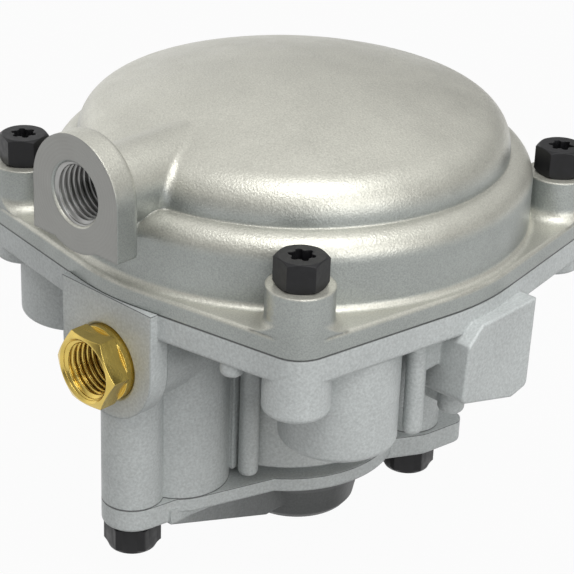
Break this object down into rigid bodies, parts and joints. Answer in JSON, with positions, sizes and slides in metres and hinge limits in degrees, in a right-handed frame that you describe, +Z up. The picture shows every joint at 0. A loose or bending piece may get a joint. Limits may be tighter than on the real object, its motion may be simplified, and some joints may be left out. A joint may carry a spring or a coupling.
{
  "type": "air brake relay valve",
  "caption": "Trailer air brake relay emergency valve: domed die-cast cover on a square flange, cast body with pipe ports, brass bushing, hex screws and a bottom exhaust cover.",
  "frame": {"origin": "middle of the outline at the level of the exhaust rim; it lies on the dome's axis", "axes": "+Z up through the dome, -X towards the service and emergency ports, +X the reservoir port, +Y the delivery port"},
  "size_m": [0.1304, 0.119, 0.1129],
  "materials": {
    "cast_cover": "shot-blasted die casting, light grey, fine grain",
    "cast_body": "die casting, satin, cooler grey",
    "black_screw": "black oxide, semi-gloss",
    "brass": "turned, bright",
    "seal_rubber": "moulded nitrile rubber",
    "valve_rubber": "moulded nitrile rubber, matt",
    "turned_aluminium": "turned, satin",
    "spring_steel": "bright spring wire",
    "zinc_steel": "zinc plated"
  },
  "bodies": {
    "housing": {"cover": "cast_cover", "body": "cast_body", "bottom_cover": "cast_body", "cover_screws": "black_screw", "bottom_screws": "black_screw", "port_bushing": "brass", "cover_seal": "seal_rubber", "bottom_seal": "seal_rubber", "cylinder_ring": "seal_rubber", "stem_ring": "seal_rubber", "guide_ring": "seal_rubber", "valve_guide": "turned_aluminium", "relay_spring": "spring_steel", "valve_spring": "spring_steel", "emergency_spring": "spring_steel", "check_spring": "spring_steel", "retaining_clip": "spring_steel", "diaphragm_washer": "zinc_steel", "diaphragm_screw": "zinc_steel", "check_plug": "brass", "exhaust_diaphragm": "valve_rubber"},
    "relay_piston": {"relay_piston": "turned_aluminium", "piston_ring": "seal_rubber"},
    "valve": {"valve_carrier": "brass", "valve_face": "valve_rubber"},
    "emergency_piston": {"emergency_piston": "turned_aluminium", "emergency_ring": "seal_rubber"},
    "check_valve": {"check_carrier": "brass", "check_face": "valve_rubber"}
  },
  "joints": [
    {"name": "relay_piston_slide", "type": "slide", "parent": "housing", "child": "relay_piston", "axis": [0, 0, -1], "range_m": [0, 0.004], "stiffness_N_per_m": 1970, "springref_m": -0.006, "deforming": ["relay_spring"]},
    {"name": "valve_slide", "type": "slide", "parent": "housing", "child": "valve", "axis": [0, 0, -1], "range_m": [0, 0.0025], "stiffness_N_per_m": 2100, "springref_m": -0.004, "deforming": ["valve_spring"]},
    {"name": "emergency_piston_slide", "type": "slide", "parent": "housing", "child": "emergency_piston", "axis": [0, 0, -1], "range_m": [0, 0.004], "stiffness_N_per_m": 4820, "springref_m": -0.005, "deforming": ["emergency_spring"]},
    {"name": "check_valve_slide", "type": "slide", "parent": "housing", "child": "check_valve", "axis": [0, 0, -1], "range_m": [0, 0.002], "stiffness_N_per_m": 2730, "springref_m": -0.003, "deforming": ["check_spring"]}
  ],
  "couplings": [
    {"joint": "valve_slide", "follows": "relay_piston_slide", "ratio": 0.625}
  ]
}
